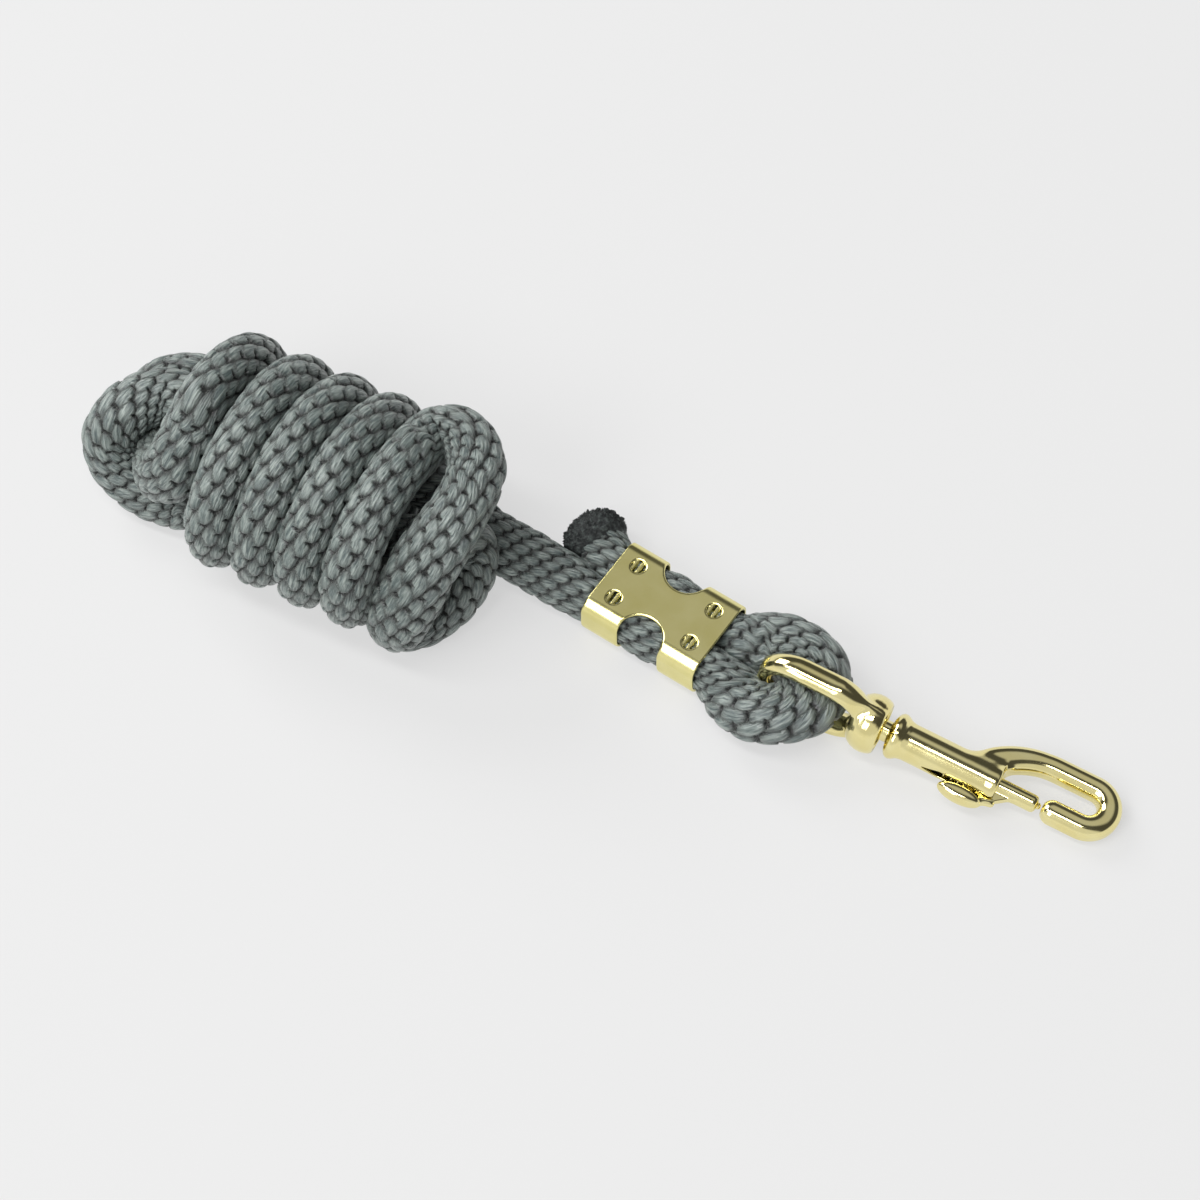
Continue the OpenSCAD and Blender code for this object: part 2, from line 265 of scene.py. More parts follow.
def braid(u, phi, opened, turned_at):
    """The stitch surface at place u, counted in stitches, and angle phi.

    From the place turned_at on, the other end of each stitch lies on top.

    Gives the height from 0 in the pits to 1 on the crests, and for the winning stitch the
    place along it, the place across it and its own random number."""
    # k is the column of the nearest stitch, and i its place in that column, once rounded
    k = (phi - SLANT * u) / (COLUMN + SLANT / 3)
    i = u + k / 3
    k0 = np.round(k)
    i0 = np.round(i)
    best = np.zeros_like(u)
    hollow = np.zeros_like(u)
    facts = [np.zeros_like(u) for _ in range(3)]
    half_long, half_wide, lean, facing = stitch_form(opened, u >= turned_at)
    for dk in NEIGHBOURS:
        for di in NEIGHBOURS:
            kk = k0 + dk
            ii = i0 + di
            # every 18 columns the braid has moved on by 6 stitches, so both name one stitch
            name = ii - 6 * np.floor(kk / AROUND)
            p = (u - (ii - kk / 3)) * PITCH
            q = (phi - (COLUMN * kk + SLANT * ii)) * ROPE_R
            tilt = lean + 0.12 * (noise(name, kk, 1) - 0.5)
            along_it = (p * np.cos(tilt) + q * np.sin(tilt)) / half_long * facing
            across_it = q * np.cos(tilt) - p * np.sin(tilt) + 0.3 * along_it**3 * facing
            own_wide = half_wide + 0.2 * (noise(name, kk, 2) - 0.5)
            lift = 0.92 + 0.16 * (noise(name, kk, 3) - 0.5)
            height = stitch_height(along_it, across_it, own_wide, lift)
            wins = height > best
            best = np.where(wins, height, best)
            for fact, value in zip(facts, (along_it, across_it, noise(name, kk, 4))):
                fact[wins] = value[wins]
            hollow = np.maximum(hollow, hollow_past(along_it, across_it, half_wide))
    return best * (1 - 0.9 * hollow**0.5), *facts


def unit(v):
    return v / np.linalg.norm(v, axis=-1, keepdims=True)


def frames(points):
    """Tangents, and two directions square to them that do not twist along the line."""
    tangents = unit(np.gradient(points, axis=0))
    sides = np.zeros_like(points)
    side = np.cross(tangents[0], (0, 0, 1))
    for i, t in enumerate(tangents):
        side = side - t * (side @ t)
        side = side / np.linalg.norm(side)
        sides[i] = side
    return tangents, sides, np.cross(tangents, sides)


def flat_way(tangents, wound):
    """Which way the rope is squeezed broad: level in the lead, and along X where it is wound."""
    level = unit(np.cross((0, 0, 1), tangents) + 1e-9)
    along_x = unit(np.array([1.0, 0, 0]) - tangents * tangents[:, :1] + 1e-9)
    same_way = np.sign(np.sum(level * along_x, 1))[:, None]
    return unit(level * (1 - wound) + along_x * wound * same_way)


def rope_surface(route, along, wound_from, turned_from):
    """Rings of points over the braided rope, and what the material needs at each.

    From the place wound_from the rope is squeezed as in a turn of the hank, and from the place
    turned_from on, the other end of each stitch lies on top."""
    route = blurred(route, 3)
    tangents, side, up = frames(route[:, :3])
    bend = blurred(np.gradient(tangents, along, axis=0), BEND_BLUR)
    tight = np.clip(np.linalg.norm(bend, axis=1) * ROPE_R, 0, MOST_TIGHT)
    pitch = PITCH * (1 - 0.5 * tight)  # the stitches crowd in a bend
    count = np.concatenate([[0], np.cumsum(np.diff(along) / pitch[1:])])
    rings = int(count[-1] * GRID_ALONG)
    u = np.linspace(0, count[-1], rings)
    tables = (route, tangents, side, up, bend)
    route, tangents, side, up, bend = (sampled(table, count, u) for table in tables)
    s = np.interp(u, count, along)
    phi = np.arange(GRID_AROUND) * 2 * np.pi / GRID_AROUND
    uu, pp = np.meshgrid(u, phi, indexing="ij")
    opened = np.clip((np.interp(u, count, tight) - 0.08) / 0.2, 0, 1)[:, None]
    turned_at = np.interp(turned_from, along, count)
    height, along_it, across_it, own = braid(uu, pp, opened, turned_at)

    # the stitches open on the outside of a bend and close up on its inside
    out = -bend * ROPE_R
    size = np.linalg.norm(out, axis=1, keepdims=True) + 1e-9
    out = out / size * np.clip((size - 0.1) * 2.4, 0, 0.5)
    out_side = np.sum(out * side, 1)[:, None]
    out_up = np.sum(out * up, 1)[:, None]
    angle = pp + out_side * np.sin(pp) - out_up * np.cos(pp)

    wound = np.clip((s - wound_from) / 20, 0, 1)[:, None]
    flat = flat_way(tangents, wound)
    direction = side[:, None] * np.cos(angle)[..., None] + up[:, None] * np.sin(angle)[..., None]
    c = np.sum(direction * flat[:, None], -1)
    half_width, half_height = route[:, 3:4], route[:, 4:5]
    reach = 1 / np.sqrt((c / half_width) ** 2 + (1 - c**2) / half_height**2)
    radius = reach + CREST - STITCH_DEPTH * (1 - height)
    points = route[:, None, :3] + direction * radius[..., None]
    facts = {"height": height, "along": along_it, "across": across_it, "own": own}
    return points, facts, route


def tube(name, points, facts):
    """A closed tube mesh from rings of points, with each fact as a point attribute."""
    rings, around = points.shape[:2]
    ends = [points[0].mean(0), points[-1].mean(0)]
    places = np.vstack([points.reshape(-1, 3), ends]) * MM
    r = np.arange(rings - 1)[:, None] * around
    k = np.arange(around)[None]
    j = (k + 1) % around
    walls = np.stack([r + k, r + j, r + around + j, r + around + k], -1).reshape(-1, 4)
    n = rings * around
    last = n - around
    k, j = k.ravel(), j.ravel()
    caps = np.vstack([
        np.stack([np.full(around, n), j, k], 1),
        np.stack([np.full(around, n + 1), last + k, last + j], 1),
    ])
    mesh = bpy.data.meshes.new(name)
    mesh.vertices.add(len(places))
    mesh.vertices.foreach_set("co", places.astype(np.float32).ravel())
    corners = np.concatenate([walls.ravel(), caps.ravel()]).astype(np.int32)
    mesh.loops.add(len(corners))
    mesh.loops.foreach_set("vertex_index", corners)
    sizes = np.concatenate([np.full(len(walls), 4), np.full(len(caps), 3)])
    starts = np.concatenate([[0], np.cumsum(sizes)[:-1]]).astype(np.int32)
    mesh.polygons.add(len(sizes))
    mesh.polygons.foreach_set("loop_start", starts)
    mesh.update(calc_edges=True)
    mesh.polygons.foreach_set("use_smooth", np.ones(len(sizes), bool))
    for key, values in facts.items():
        ends = [values[0].mean(), values[-1].mean()]
        everywhere = np.concatenate([values.ravel(), ends]).astype(np.float32)
        attribute = mesh.attributes.new("braid_" + key, "FLOAT", "POINT")
        attribute.data.foreach_set("value", everywhere)
    mesh.validate()
    return add_object(name, mesh)


line, along = smooth_line(LEAD + CORE + RISE + turns() + FAR, ROUTE_STEP)


def place_of(knot):
    """How far along the rope it passes a knot of its route."""
    return along[np.argmin(np.linalg.norm(line[:, :3] - np.array(knot[:3]), axis=1))]


points, facts, centres = rope_surface(
    line, along, wound_from=place_of(RISE[0]), turned_from=place_of(RISE[7])
)
rope = tube("rope_braid", points, facts)
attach(rope, "rope")
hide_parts("rope_hank", "rope_lead")


# ---------------------------------------------------------------- solid shapes as distances

# A shape here is a function that gives, for points in millimetres, the distance to its
# surface: negative inside and positive outside.

PROBE = 0.01  # how far apart two places are to find which way a shape's surface lies


def smooth_min(a, b, k):
    """Joins two shapes with a fillet about k wide."""
    h = np.clip(0.5 + 0.5 * (b - a) / k, 0, 1)
    return b + (a - b) * h - k * h * (1 - h)


def smooth_max(a, b, k):
    """Keeps what two shapes share, with an edge rounded about k wide."""
    return -smooth_min(-a, -b, k)


def rectangle(x, y, half_x, half_y, r):
    """Distance from a rectangle with corners of radius r, in its own plane."""
    qx = np.abs(x) - half_x + r
    qy = np.abs(y) - half_y + r
    outside = np.hypot(np.maximum(qx, 0), np.maximum(qy, 0))
    return outside + np.minimum(np.maximum(qx, qy), 0) - r


def rod(p, a, b, ra, rb):
    """A round-ended rod from a to b whose radius goes from ra to rb."""
    a, b = np.array(a, float), np.array(b, float)
    share = np.clip((p - a) @ (b - a) / ((b - a) @ (b - a)), 0, 1)
    return np.linalg.norm(p - a - share[..., None] * (b - a), axis=-1) - (ra + (rb - ra) * share)


def turned(p, profile):
    """A shape turned about the X axis, from rows of place and radius."""
    places, radii = np.array(profile, float).T
    x = p[..., 0]
    wall = np.hypot(p[..., 1], p[..., 2]) - np.interp(x, places, radii)
    return np.maximum(wall, np.maximum(places[0] - x, x - places[-1]))


def window(table, corner):
    """A grid's values at one corner of each of its cells."""
    return table[tuple(slice(c, c + m - 1) for c, m in zip(corner, table.shape))]


def surface_points(d):
    """A vertex in every cell that the surface crosses, amid the crossings of its edges.

    Gives the vertices in cells from the grid's first corner, and the number of each cell's
    vertex, or -1."""
    inside = d < 0
    cells_each_way = np.array(d.shape) - 1
    total = np.zeros((*cells_each_way, 3))
    count = np.zeros(cells_each_way)
    corners = [(i, j, k) for i in (0, 1) for j in (0, 1) for k in (0, 1)]
    for corner in corners:
        for axis in range(3):
            if corner[axis]:
                continue
            other = tuple(1 if i == axis else c for i, c in enumerate(corner))
            crossed = window(inside, corner) != window(inside, other)
            da, db = window(d, corner)[crossed], window(d, other)[crossed]
            at = np.repeat(np.array(corner, float)[None], len(da), 0)
            at[:, axis] += da / (da - db)
            total[crossed] += at
            count[crossed] += 1
    cells = np.argwhere(count > 0)
    index = np.full(cells_each_way, -1)
    index[tuple(cells.T)] = np.arange(len(cells))
    return cells + total[count > 0] / count[count > 0][:, None], index


def surface_faces(inside, index):
    """A face across every grid edge that the surface crosses, between its four cells."""
    faces = []
    for axis in range(3):
        u, v = [i for i in range(3) if i != axis]
        a = [slice(None)] * 3
        b = [slice(None)] * 3
        a[axis], b[axis] = slice(None, -1), slice(1, None)
        starts, ends = inside[tuple(a)], inside[tuple(b)]
        edges = np.argwhere(starts != ends)
        edges = edges[(edges[:, u] > 0) & (edges[:, v] > 0)]
        edges = edges[(edges[:, u] < index.shape[u]) & (edges[:, v] < index.shape[v])]
        ring = []
        for du, dv in ((1, 1), (0, 1), (0, 0), (1, 0)):
            cell = edges.copy()
            cell[:, u] -= du
            cell[:, v] -= dv
            ring.append(index[tuple(cell.T)])
        ring = np.stack(ring, 1)
        turn = starts[tuple(edges.T)] == (axis != 1)
        ring[~turn] = ring[~turn][:, ::-1]
        faces.append(ring)
    return np.vstack(faces)


def drawn_onto(shape, points, most):
    """Points moved onto a shape's true surface, each time by no more than a given distance."""
    for _ in range(4):
        here = shape(points)
        slope = np.stack([(shape(points + e) - here) / PROBE for e in np.eye(3) * PROBE], -1)
        size = np.sum(slope**2, -1) + 1e-6
        shift = np.clip(here / size, -most, most)
        points = points - shift[:, None] * slope
    return points


def solid(name, shape, low, high, step, place):
    """Meshes a shape inside a box, on a grid of the given step, and puts it in its place."""
    axes = [np.arange(a, b + step, step) for a, b in zip(low, high)]
    d = shape(np.stack(np.meshgrid(*axes, indexing="ij"), -1))
    cells, index = surface_points(d)
    faces = surface_faces(d < 0, index)
    points = drawn_onto(shape, cells * step + np.array(low), 0.3 * step)
    mesh = bpy.data.meshes.new(name)
    mesh.from_pydata((place(points) * MM).tolist(), [], faces.tolist())
    mesh.polygons.foreach_set("use_smooth", np.ones(len(faces), bool))
    mesh.validate()
    return add_object(name, mesh)


# ---------------------------------------------------------------- swivel eye, snap and bolt

EYE_POS = np.array([65, 8, 12.5])
SNAP_PITCH = np.radians(5.8)

# From here to the clamp, places are in the snap's own frame. Its X runs along the snap's axis
# from the middle of the eye's ring.
EYE_STRAIGHT, EYE_ROUND = 5.1, 9.7  # half the straight run of the ring's middle line, its radius
BAR_DEEP, BAR_BROAD = 2.45, 3.7     # half the bar's section, in the ring's plane and across it
MOUTH_R, THROAT_R, SEAT_R = 6.1, 3.08, 4.9  # the hollows in the hub
BORE_R, PISTON_R = 3.25, 3.17
SLOT_START = 35.2
SLOT_HALF = (0.45, 1.6)             # half the slot's width, at its start and from 39.5 on
TOP_LINE, BEND_R = 12.2, 6.1        # the hook's upper bar is this far out, and its end this round
HOOK_BEND = 79                      # where the hook begins to turn back
HOOK_POINT = 71.4                   # where the hook's point ends
FIN_BACK, FIN_FRONT = 47.6, 60.5
KNOB_SIZE = (6.4, 2.4, 3.2)         # half its length, height and width

# Rows of place along the axis and radius
HUB = [
    (11.6, 4.6), (12.2, 5.8), (13.2, 6.9), (14.6, 7.8), (16.2, 8.3), (17.8, 8.35),
    (19.2, 8.1), (20.2, 7.7), (20.7, 7.3), (20.9, 6.9),
]
NECK_AND_BARREL = [
    (11.7, 3.6), (12.3, 4.3), (12.8, 4.5), (13.3, 4.4), (13.5, 3), (22.9, 3), (23.05, 4.5),
    (23.4, 5.4), (23.9, 6.1), (24.6, 6.55), (25.4, 6.6), (26.2, 6.3), (27.3, 5.6), (28.6, 5.3),
    (52, 5.3), (54, 5.45), (54.9, 5.35), (55.4, 4.9),
]
PLUNGER = [
    (46.5, 2.8), (46.8, PISTON_R), (54.4, PISTON_R), (55.4, 2.5), (65.7, 2.5), (66.4, 2.25),
    (66.8, 1.7), (66.95, 1), (67.5, 0.9), (67.9, 0.5),
]


def in_snap(points):
    """From the snap's own frame, whose X is its axis, to the shared frame."""
    c, s = np.cos(SNAP_PITCH), np.sin(SNAP_PITCH)
    return points @ np.array([[c, 0, -s], [0, 1, 0], [s, 0, c]]) + EYE_POS


def eye_shape(p):
    x, y, z = np.moveaxis(p, -1, 0)
    across = np.hypot(np.maximum(np.abs(x) - EYE_STRAIGHT, 0), z) - EYE_ROUND
    # the bar gets narrower towards the ring's inner end
    breadth = BAR_BROAD - 0.5 * np.clip((-4 - x) / 9, 0, 1)
    ring = (np.hypot(across / BAR_DEEP, y / breadth) - 1) * BAR_DEEP
    folded = np.stack([x, y, np.abs(z)], -1)
    spur = rod(folded, (7, 0, 9.2), (19.4, 0, 7.3), 2.6, 0.8)
    body = smooth_min(smooth_min(ring, spur, 1.6), turned(p, HUB), 1.4)
    around = np.hypot(y, z)
    mouth = np.maximum(around - MOUTH_R, 17.0 - x)
    throat = np.maximum(around - THROAT_R, np.abs(x - 16) - 6)
    seat = np.maximum(around - SEAT_R, np.abs(x - 12) - 1.4)
    return smooth_max(body, -np.minimum(np.minimum(mouth, throat), seat), 0.5)


def arc(x, y, centre, radius, first, last):
    """Distance from an arc between two angles in degrees, from -90 to 270."""
    angle = (np.degrees(np.arctan2(y - centre[1], x - centre[0])) + 90) % 360 - 90
    angle = np.radians(np.clip(angle, first, last))
    return np.hypot(x - centre[0] - radius * np.cos(angle), y - centre[1] - radius * np.sin(angle))


def hook_line(x, y):
    """Distance in the hook's plane from the middle line of its bar."""
    back = arc(x, y, (68, TOP_LINE - 24), 24, 90, 146)
    top = np.hypot(x - np.clip(x, 68, HOOK_BEND), y - TOP_LINE)
    bend = arc(x, y, (HOOK_BEND, BEND_R), BEND_R, -90, 90)
    point = np.hypot(x - np.clip(x, HOOK_POINT, HOOK_BEND), y)
    return np.minimum(np.minimum(back, top), np.minimum(bend, point))


def snap_shape(p):
    x, y, z = np.moveaxis(p, -1, 0)
    # the hook's bar is broadest where it leaves the barrel
    broad = 3.4 + 0.8 * np.clip((64 - x) / 14, 0, 1)
    hook = rectangle(hook_line(x, y), z, broad, 3.4, 3.0)
    body = smooth_min(turned(p, NECK_AND_BARREL), hook, 2.4)
    bore = np.maximum(np.hypot(y, z) - BORE_R, np.abs(x - 49) - 19)
    slot = np.hypot(np.minimum(x - SLOT_START, 0), z)
    slot = slot - np.interp(x, (SLOT_START, 39.5), SLOT_HALF)
    slot = np.maximum(np.maximum(slot, y), x - 68)
    # a dimple in the hook's point takes the tip of the bolt
    dimple = np.linalg.norm(p - (67.9, 0, 0), axis=-1) - 1.4
    return smooth_max(body, -np.minimum(np.minimum(bore, slot), dimple), 0.5)


def bolt_shape(p):
    x, y, z = np.moveaxis(p, -1, 0)
    low = np.interp(x, (FIN_BACK, 53.5, 56, 60), (-6.3, -6.6, -5.4, -2.2))
    # the fin is sharp at its back, to run up into the point of the slot
    thick = np.interp(x, (FIN_BACK, 50.8), (0.3, 1.1))
    length = np.maximum(FIN_BACK - x, x - FIN_FRONT)
    fin = smooth_max(smooth_max(low - y, np.abs(z) - thick, 0.4), length, 0.4)
    fin = np.maximum(fin, y + 1)
    heel = rod(p, (52.6, -6.2, 0), (55.6, -5.7, 0), 1.25, 1.05)
    # the thumb knob is boat-shaped, with flat sides, and hollowed to clear the barrel
    knob = (np.linalg.norm((p - (47, -7.5, 0)) / np.array(KNOB_SIZE), axis=-1) - 1) * 2.2
    knob = smooth_max(knob, np.abs(z) - 2.6, 0.8)
    knob = smooth_max(knob, 5.5 - np.hypot(y, z), 0.3)
    knob = smooth_min(smooth_min(fin, heel, 0.5), knob, 0.6)
    return smooth_min(turned(p, PLUNGER), knob, 0.5)


eye = solid("swivel_eye_cast", eye_shape, (-16, -10, -13), (22, 10, 13), 0.3, in_snap)
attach(eye, "eye")
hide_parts("swivel_eye")
snap = solid("snap_body_cast", snap_shape, (11, -8, -8), (90, 17, 8), 0.3, in_snap)
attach(snap, "snap")
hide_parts("snap_body")
bolt = solid("bolt_cast", bolt_shape, (40, -11, -4.5), (69, 4.5, 4.5), 0.2, in_snap)
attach(bolt, "bolt")
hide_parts("bolt")


# ---------------------------------------------------------------- the bolt's spring

SPRING_START, SPRING_END = 30.05, 46.4  # places along the snap's axis
SPRING_R = 2.6
WIRE_R = 0.35
SPRING_TURNS = 7
TURN_SAMPLES = 40
WIRE_SAMPLES = 10


def spring_coil():
    """A coil of wire, with its end turns closed up against the bore and the bolt."""
    share = np.linspace(0, 1, SPRING_TURNS * TURN_SAMPLES)
    turn = (share * SPRING_TURNS * 2 * np.pi)[:, None]
    run = SPRING_END - SPRING_START - 2 * WIRE_R
    evened = (share - 0.1 * np.sin(2 * np.pi * share) / np.pi)[:, None]
    x = SPRING_START + WIRE_R + run * evened
    a = np.arange(WIRE_SAMPLES)[None] * 2 * np.pi / WIRE_SAMPLES
    reach = SPRING_R + WIRE_R * np.cos(a)
    points = np.stack([x + WIRE_R * np.sin(a), reach * np.cos(turn), reach * np.sin(turn)], -1)
    return tube("bolt_spring_coil", in_snap(points), {})


spring = spring_coil()
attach(spring, "snap")
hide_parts("bolt_spring")


# ---------------------------------------------------------------- stamped clamp

CLAMP_POS = np.array([17, 13.3, 0])
CLAMP_TURN = np.radians(-7.6)
CLAMP_SIZE = (37, 27, 16.2)
SHEET = 1.0                 # thickness of the metal
LOW_CORNER, TOP_CORNER = 7.4, 4.5
NOTCH_R = 6.5
SEAM_HALF = 2               # half the gap between the straps' ends underneath
HOLE_PLACE = (12.5, 6)      # from the clamp's middle
HOLE_R = 2.05
TOOTH_DROP = 4.4


def in_clamp(points):
    c, s = np.cos(CLAMP_TURN), np.sin(CLAMP_TURN)
    return points @ np.array([[c, s, 0], [-s, c, 0], [0, 0, 1]]) + CLAMP_POS


def clamp_shape(p):
    x, y, z = np.moveaxis(p, -1, 0)
    long, wide, high = CLAMP_SIZE
    half_length, middle = long / 2, high / 2
    corner = np.where(z < middle, LOW_CORNER, TOP_CORNER)
    section = rectangle(y, z - middle, wide / 2, middle, corner)
    sheet = np.abs(section + SHEET / 2) - SHEET / 2
    sheet = smooth_max(sheet, np.abs(x) - half_length, 0.6)
    notch = np.hypot(x, np.abs(y) - wide / 2 + 1.2) - NOTCH_R
    below = np.maximum(np.abs(x) - NOTCH_R, z - middle)
    seam = np.maximum(np.abs(y) - SEAM_HALF, z - middle)
    sheet = smooth_max(sheet, -np.minimum(np.minimum(notch, below), seam), 0.8)
    # four holes with rounded lips, and two leaning teeth bent down in each
    hx = x - np.where(x < 0, -HOLE_PLACE[0], HOLE_PLACE[0])
    hy = np.abs(y) - HOLE_PLACE[1]
    hole = np.maximum(np.hypot(hx, hy) - HOLE_R, middle - z)
    sheet = smooth_max(sheet, -hole, 0.7)
    drop = high - 0.3 - z
    lean = hx - 0.5 * drop
    thick = np.abs(np.abs(lean + 0.45) - 0.95) - 0.5
    tooth = smooth_max(thick, np.abs(hy) - 2.1 + 0.4 * drop, 0.3)
    tooth = np.maximum(tooth, np.maximum(-drop, drop - TOOTH_DROP))
    return np.minimum(sheet, tooth)


clamp = solid("clamp_sheet", clamp_shape, (-19.5, -14.5, -1), (19.5, 14.5, 17.5), 0.25, in_clamp)
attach(clamp, "rope")
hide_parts("rope_clamp")


# ---------------------------------------------------------------- melted rope ends

SKIRT = -35                     # angle from the dome's edge where the skin begins, degrees
END_RINGS, END_AROUND = 60, 120
STUBBLE = 0.9


def melted_end(name, end, inward, radius, length):
    """The domed, stubbly skin where the rope's end was melted."""
    out = unit(np.array(end, float) - np.array(inward, float))
    side = unit(np.cross(out, (0, 0, 1)))
    up = np.cross(side, out)
    t = np.linspace(0, 1, END_RINGS)[:, None]
    a = np.arange(END_AROUND)[None] * 2 * np.pi / END_AROUND
    # from a skirt round the rope, out over the swollen edge, to the middle of the dome
    turn = np.radians(SKIRT + (90 - SKIRT) * t)
    place = length * np.sin(turn)
    reach = radius * np.clip(np.cos(turn), 0.01, 1) ** 0.8
    lumps = 0.3 * np.sin(5 * a + 9 * t) * np.sin(3 * a - 14 * t + 1)
    lumps = lumps + 0.15 * np.sin(11 * a + 31 * t)
    rows, columns = np.arange(END_RINGS)[:, None], np.arange(END_AROUND)[None]
    stubble = STUBBLE * noise(rows, columns * 0.37, 5) ** 3
    reach = reach + (lumps + stubble) * np.clip(t * 6, 0, 1) * np.clip((1 - t) * 8, 0, 1)
    place = place + stubble * np.clip((t - 0.3) * 2, 0, 1)
    points = (
        np.array(end, float)
        + out * place[..., None]
        + side * (reach * np.cos(a))[..., None]
        + up * (reach * np.sin(a))[..., None]
    )
    points[..., 2] = np.maximum(points[..., 2], 0)  # it rests on the floor
    obj = tube(name, points, {"height": stubble + 0 * a})
    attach(obj, "rope")
    return obj


tail_melt = melted_end("rope_tail_melt", LEAD[0][:3], LEAD[1][:3], 8.9, 6.6)
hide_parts("rope_tail_seal")
far_melt = melted_end("rope_far_melt", FAR[-1][:3], FAR[-2][:3], 8.5, 5.5)


# ---------------------------------------------------------------- materials

ROPE_DARK, ROPE_PALE = (0.026, 0.042, 0.042), (0.196, 0.224, 0.207)
ROPE_MIDDLE = (0.1, 0.122, 0.114)
MELT_DARK, MELT_PALE = (0.006, 0.008, 0.008), (0.07, 0.085, 0.08)
CAST_DULL, CAST_BRIGHT = (0.84, 0.74, 0.34), (0.9, 0.82, 0.43)
SHEET_DULL, SHEET_BRIGHT = (0.78, 0.71, 0.29), (0.86, 0.79, 0.37)
STEEL = (0.5, 0.5, 0.5)


class Nodes:
    """Short calls for making a node material."""

    def __init__(self, name):
        self.material = bpy.data.materials.new(name)
        self.material.use_nodes = True
        self.tree = self.material.node_tree
        self.shader = self.tree.nodes["Principled BSDF"]

    def add(self, kind, inputs=(), **settings):
        node = self.tree.nodes.new("ShaderNode" + kind)
        for key, value in settings.items():
            setattr(node, key, value)
        for key, value in dict(inputs).items():
            self.set(node.inputs[key], value)
        return node

    def set(self, socket, value):
        if isinstance(value, bpy.types.NodeSocket):
            self.tree.links.new(value, socket)
        else:
            socket.default_value = value

    def surface(self, inputs):
        """Sets the shader's own sockets, and gives the finished material."""
        for key, value in inputs.items():
            self.set(self.shader.inputs[key], value)
        return self.material

    def fact(self, name):
        return self.add("Attribute", attribute_name=name).outputs["Fac"]

    def noise(self, place, scale, detail, **more):
        inputs = {"Vector": place, "Scale": scale, "Detail": detail, **more}
        return self.add("TexNoise", inputs).outputs["Fac"]

    def place(self):
        return self.add("TexCoord").outputs["Object"]

    def math(self, operation, *values):
        node = self.add("Math", operation=operation)
        for socket, value in zip(node.inputs, values):
            self.set(socket, value)
        return node.outputs[0]

    def vector(self, x, y, z):
        return self.add("CombineXYZ", {0: x, 1: y, 2: z}).outputs[0]

    def ramp(self, value, stops):
        node = self.add("ValToRGB", {0: value})
        ramp = node.color_ramp
        while len(ramp.elements) < len(stops):
            ramp.elements.new(1)
        for element, (place, colour) in zip(ramp.elements, stops):
            element.position = place
            element.color = (*colour, 1)
        return node.outputs[0]

    def grey_ramp(self, value, stops):
        return self.ramp(value, [(place, (grey, grey, grey)) for place, grey in stops])

    def mix(self, share, first, second, blend="MIX"):
        node = self.add("Mix", data_type="RGBA", blend_type=blend)
        for socket, value in ((0, share), (6, first), (7, second)):
            self.set(node.inputs[socket], (*value, 1) if isinstance(value, tuple) else value)
        return node.outputs[2]

    def bump(self, height, strength, distance):
        inputs = {"Height": height, "Strength": strength, "Distance": distance}
        return self.add("Bump", inputs).outputs[0]


def rope_material():
    n = Nodes("braided_rope")
    along_it = n.fact("braid_along")
    across_it = n.fact("braid_across")
    own = n.fact("braid_own")
    height = n.fact("braid_height")
    # the noise is drawn out along the stitch, and differs from one stitch to the next
    yarn = n.vector(
        n.math("MULTIPLY", along_it, 0.6), n.math("MULTIPLY", across_it, 0.95),
        n.math("MULTIPLY", own, 37.0),
    )
    threads = n.noise(yarn, 2.2, 3.0, Roughness=0.6)
    body = n.ramp(threads, [(0.38, ROPE_DARK), (0.62, ROPE_PALE)])
    varied = n.mix(n.math("MULTIPLY", own, 0.3), body, ROPE_MIDDLE)
    # painted shade: darkest in the pits and creases, and dull where a stitch tucks under its
    # neighbours, with a slight painted highlight on the crests
    painted_pit_shade = n.grey_ramp(height, [(0.24, 0.004), (0.44, 0.08), (0.6, 0.62), (0.86, 1.15)])
    # painted highlight along the middle of each stitch, and painted shade towards its ends
    painted_stitch_highlight = n.grey_ramp(
        n.math("MULTIPLY_ADD", along_it, 0.5, 0.5),
        [(0.1, 0.28), (0.34, 0.7), (0.54, 1.25), (0.8, 1.15), (0.95, 0.45)],
    )
    # the painted shade and highlights together, multiplied into the yarn's colour
    painted_light_and_shade = n.mix(1.0, painted_pit_shade, painted_stitch_highlight, "MULTIPLY")
    return n.surface({
        "Base Color": n.mix(1.0, varied, painted_light_and_shade, "MULTIPLY"),
        "Normal": n.bump(threads, 1.0, 0.0009),
        "Roughness": 0.36,
        "Specular IOR Level": 0.75,
        "Sheen Weight": 0.3,
        "Sheen Roughness": 0.4,
        "Sheen Tint": (0.75, 0.8, 0.76, 1),
    })


def brass_material(name, dull, bright, roughness):
    """Brass whose colour and polish vary a little from place to place."""
    n = Nodes(name)
    place = n.place()
    cloud = n.noise(place, 140.0, 4.0)
    grain = n.noise(place, 1500.0, 2.0)
    return n.surface({
        "Base Color": n.ramp(cloud, [(0.3, dull), (0.7, bright)]),
        "Metallic": 1.0,
        "Roughness": n.math("MULTIPLY_ADD", cloud, 0.12, roughness),
        "Normal": n.bump(grain, 0.06, 0.0001),
    })


def melted_material():
    n = Nodes("melted_rope_end")
    fuzz = n.noise(n.place(), 900.0, 4.0)
    return n.surface({
        "Base Color": n.ramp(fuzz, [(0.45, MELT_DARK), (0.75, MELT_PALE)]),
        "Normal": n.bump(fuzz, 1.0, 0.0006),
        "Roughness": 0.7,
    })


def steel_material():
    n = Nodes("spring_steel")
    drawn = n.noise(n.place(), 600.0, 2.0)
    return n.surface({
        "Base Color": (*STEEL, 1),
        "Metallic": 1.0,
        "Roughness": n.math("MULTIPLY_ADD", drawn, 0.2, 0.2),
    })


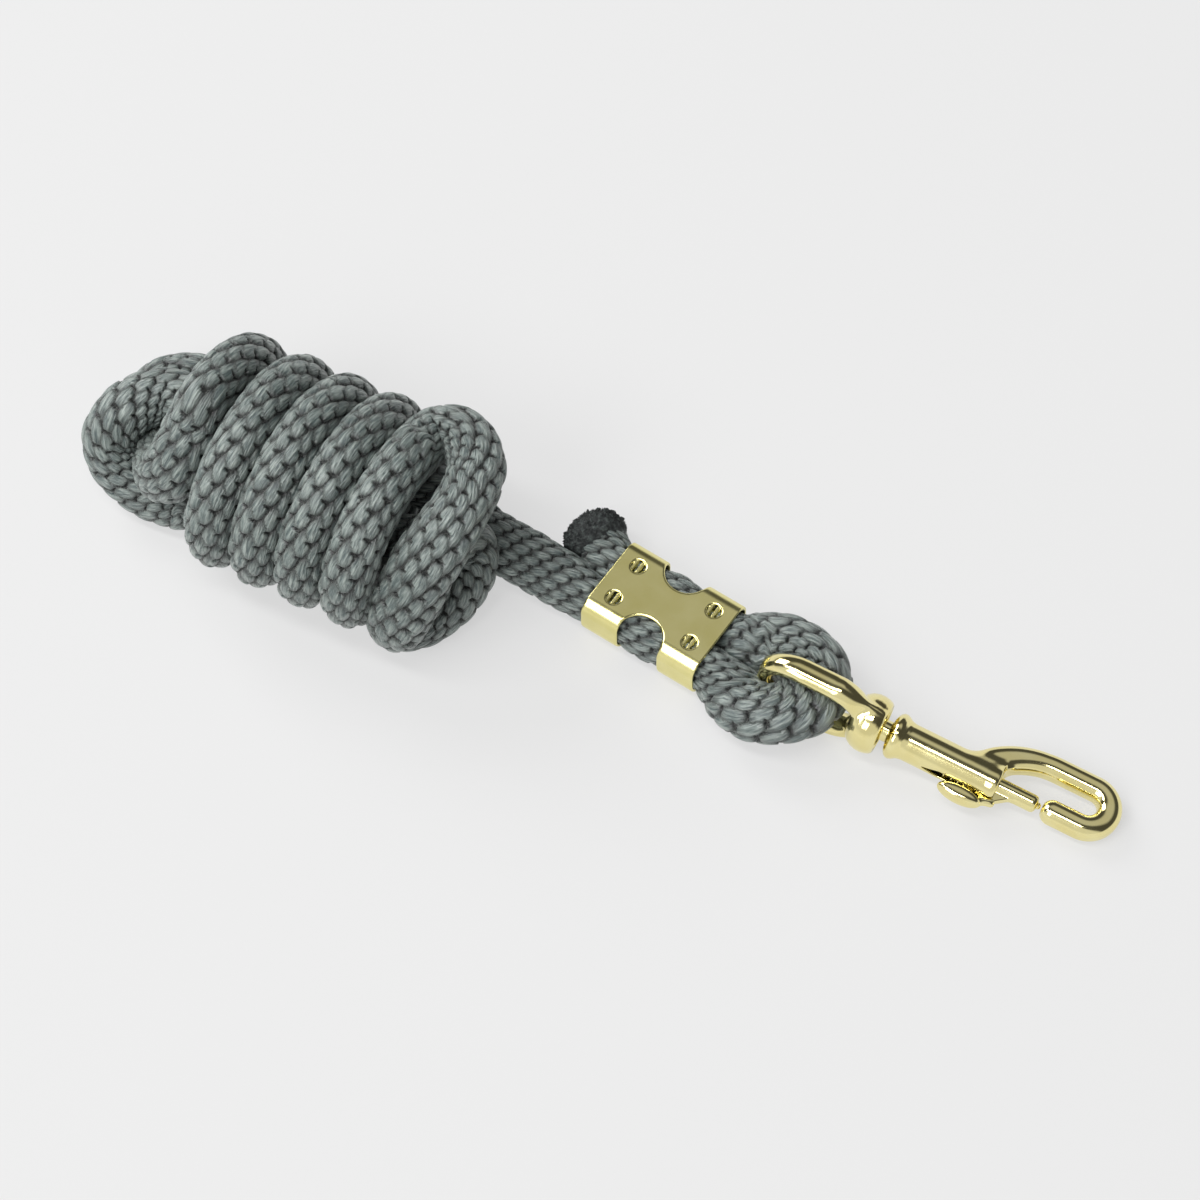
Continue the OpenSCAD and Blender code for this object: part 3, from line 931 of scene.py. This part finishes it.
rope.data.materials.append(rope_material())
cast = brass_material("polished_brass", CAST_DULL, CAST_BRIGHT, 0.06)
for piece in (eye, snap, bolt):
    piece.data.materials.append(cast)
clamp.data.materials.append(brass_material("brass_sheet", SHEET_DULL, SHEET_BRIGHT, 0.17))
for piece in (tail_melt, far_melt):
    piece.data.materials.append(melted_material())
spring.data.materials.append(steel_material())
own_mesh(spring)


# ---------------------------------------------------------------- floor and light

FLOOR_HALF = 6           # metres
GLOW_PLACES = (0.5, 4.0)  # metres from the middle, between which the floor's glow grows
GLOW = (0.56, 0.78)


def add_floor():
    mesh = bpy.data.meshes.new("floor")
    corners = [(x * FLOOR_HALF, y * FLOOR_HALF, 0) for x, y in ((-1, -1), (1, -1), (1, 1), (-1, 1))]
    mesh.from_pydata(corners, [], [(0, 1, 2, 3)])
    floor = add_object("floor", mesh)
    n = Nodes("floor")
    # the glow grows away from the middle, where less of the lamps' light falls
    away = n.add("VectorMath", {0: n.place()}, operation="LENGTH").outputs["Value"]
    near, far = GLOW_PLACES
    glow = n.add("MapRange", {
        "Value": away, "From Min": near, "From Max": far, "To Min": GLOW[0], "To Max": GLOW[1],
    })
    mesh.materials.append(n.surface({
        "Base Color": (0.2, 0.2, 0.2, 1),
        "Emission Color": (1, 1, 1, 1),
        "Emission Strength": glow.outputs["Result"],
        "Roughness": 0.9,
        "Specular IOR Level": 0.1,
    }))


def add_lamp(name, place, size, watts, turn=None):
    """A rectangular lamp, facing the object or turned by degrees about X and Y."""
    data = bpy.data.lights.new(name, "AREA")
    data.shape = "RECTANGLE"
    data.size, data.size_y = size
    data.energy = watts
    lamp = add_object(name, data)
    lamp.location = place
    look_at(lamp, (0, 0, 0.01))
    if turn:
        lamp.rotation_euler = (*np.radians(turn), 0)


def add_world():
    """A pale band round the horizon, bright in front and high behind, and dark between."""
    world = bpy.data.worlds.new("studio")
    bpy.context.scene.world = world
    world.use_nodes = True
    tree = world.node_tree
    direction = tree.nodes.new("ShaderNodeTexCoord").outputs["Generated"]
    split = tree.nodes.new("ShaderNodeSeparateXYZ")
    tree.links.new(direction, split.inputs[0])

    def ranged(value, low, high, at_low, at_high):
        """Goes smoothly from at_low to at_high while the value goes from low to high."""
        node = tree.nodes.new("ShaderNodeMapRange")
        node.interpolation_type = "SMOOTHSTEP"
        tree.links.new(value, node.inputs["Value"])
        settings = {"From Min": low, "From Max": high, "To Min": at_low, "To Max": at_high}
        for key, setting in settings.items():
            if isinstance(setting, bpy.types.NodeSocket):
                tree.links.new(setting, node.inputs[key])
            else:
                node.inputs[key].default_value = setting
        return node.outputs["Result"]

    sides = ranged(split.outputs["Y"], -0.5, -0.28, 0.72, 0.07)
    top = ranged(split.outputs["Y"], 0.12, 0.38, sides, 0.52)
    above = ranged(split.outputs["Z"], 0.7, 0.88, sides, top)
    grey = ranged(split.outputs["Z"], 0.12, 0.32, 0.85, above)
    tree.links.new(grey, tree.nodes["Background"].inputs["Color"])


add_floor()
add_world()
add_lamp("key", (-2.5, 0.8, 1.9), (1.6, 1.6), 60)
add_lamp("front", (-0.8, -2.2, 2.4), (1.6, 1.6), 50)
add_lamp("overhead", (-0.6, -0.6, 2.5), (2.6, 0.35), 42, turn=(13.5, -13.5))
bpy.context.scene.view_settings.view_transform = "Standard"
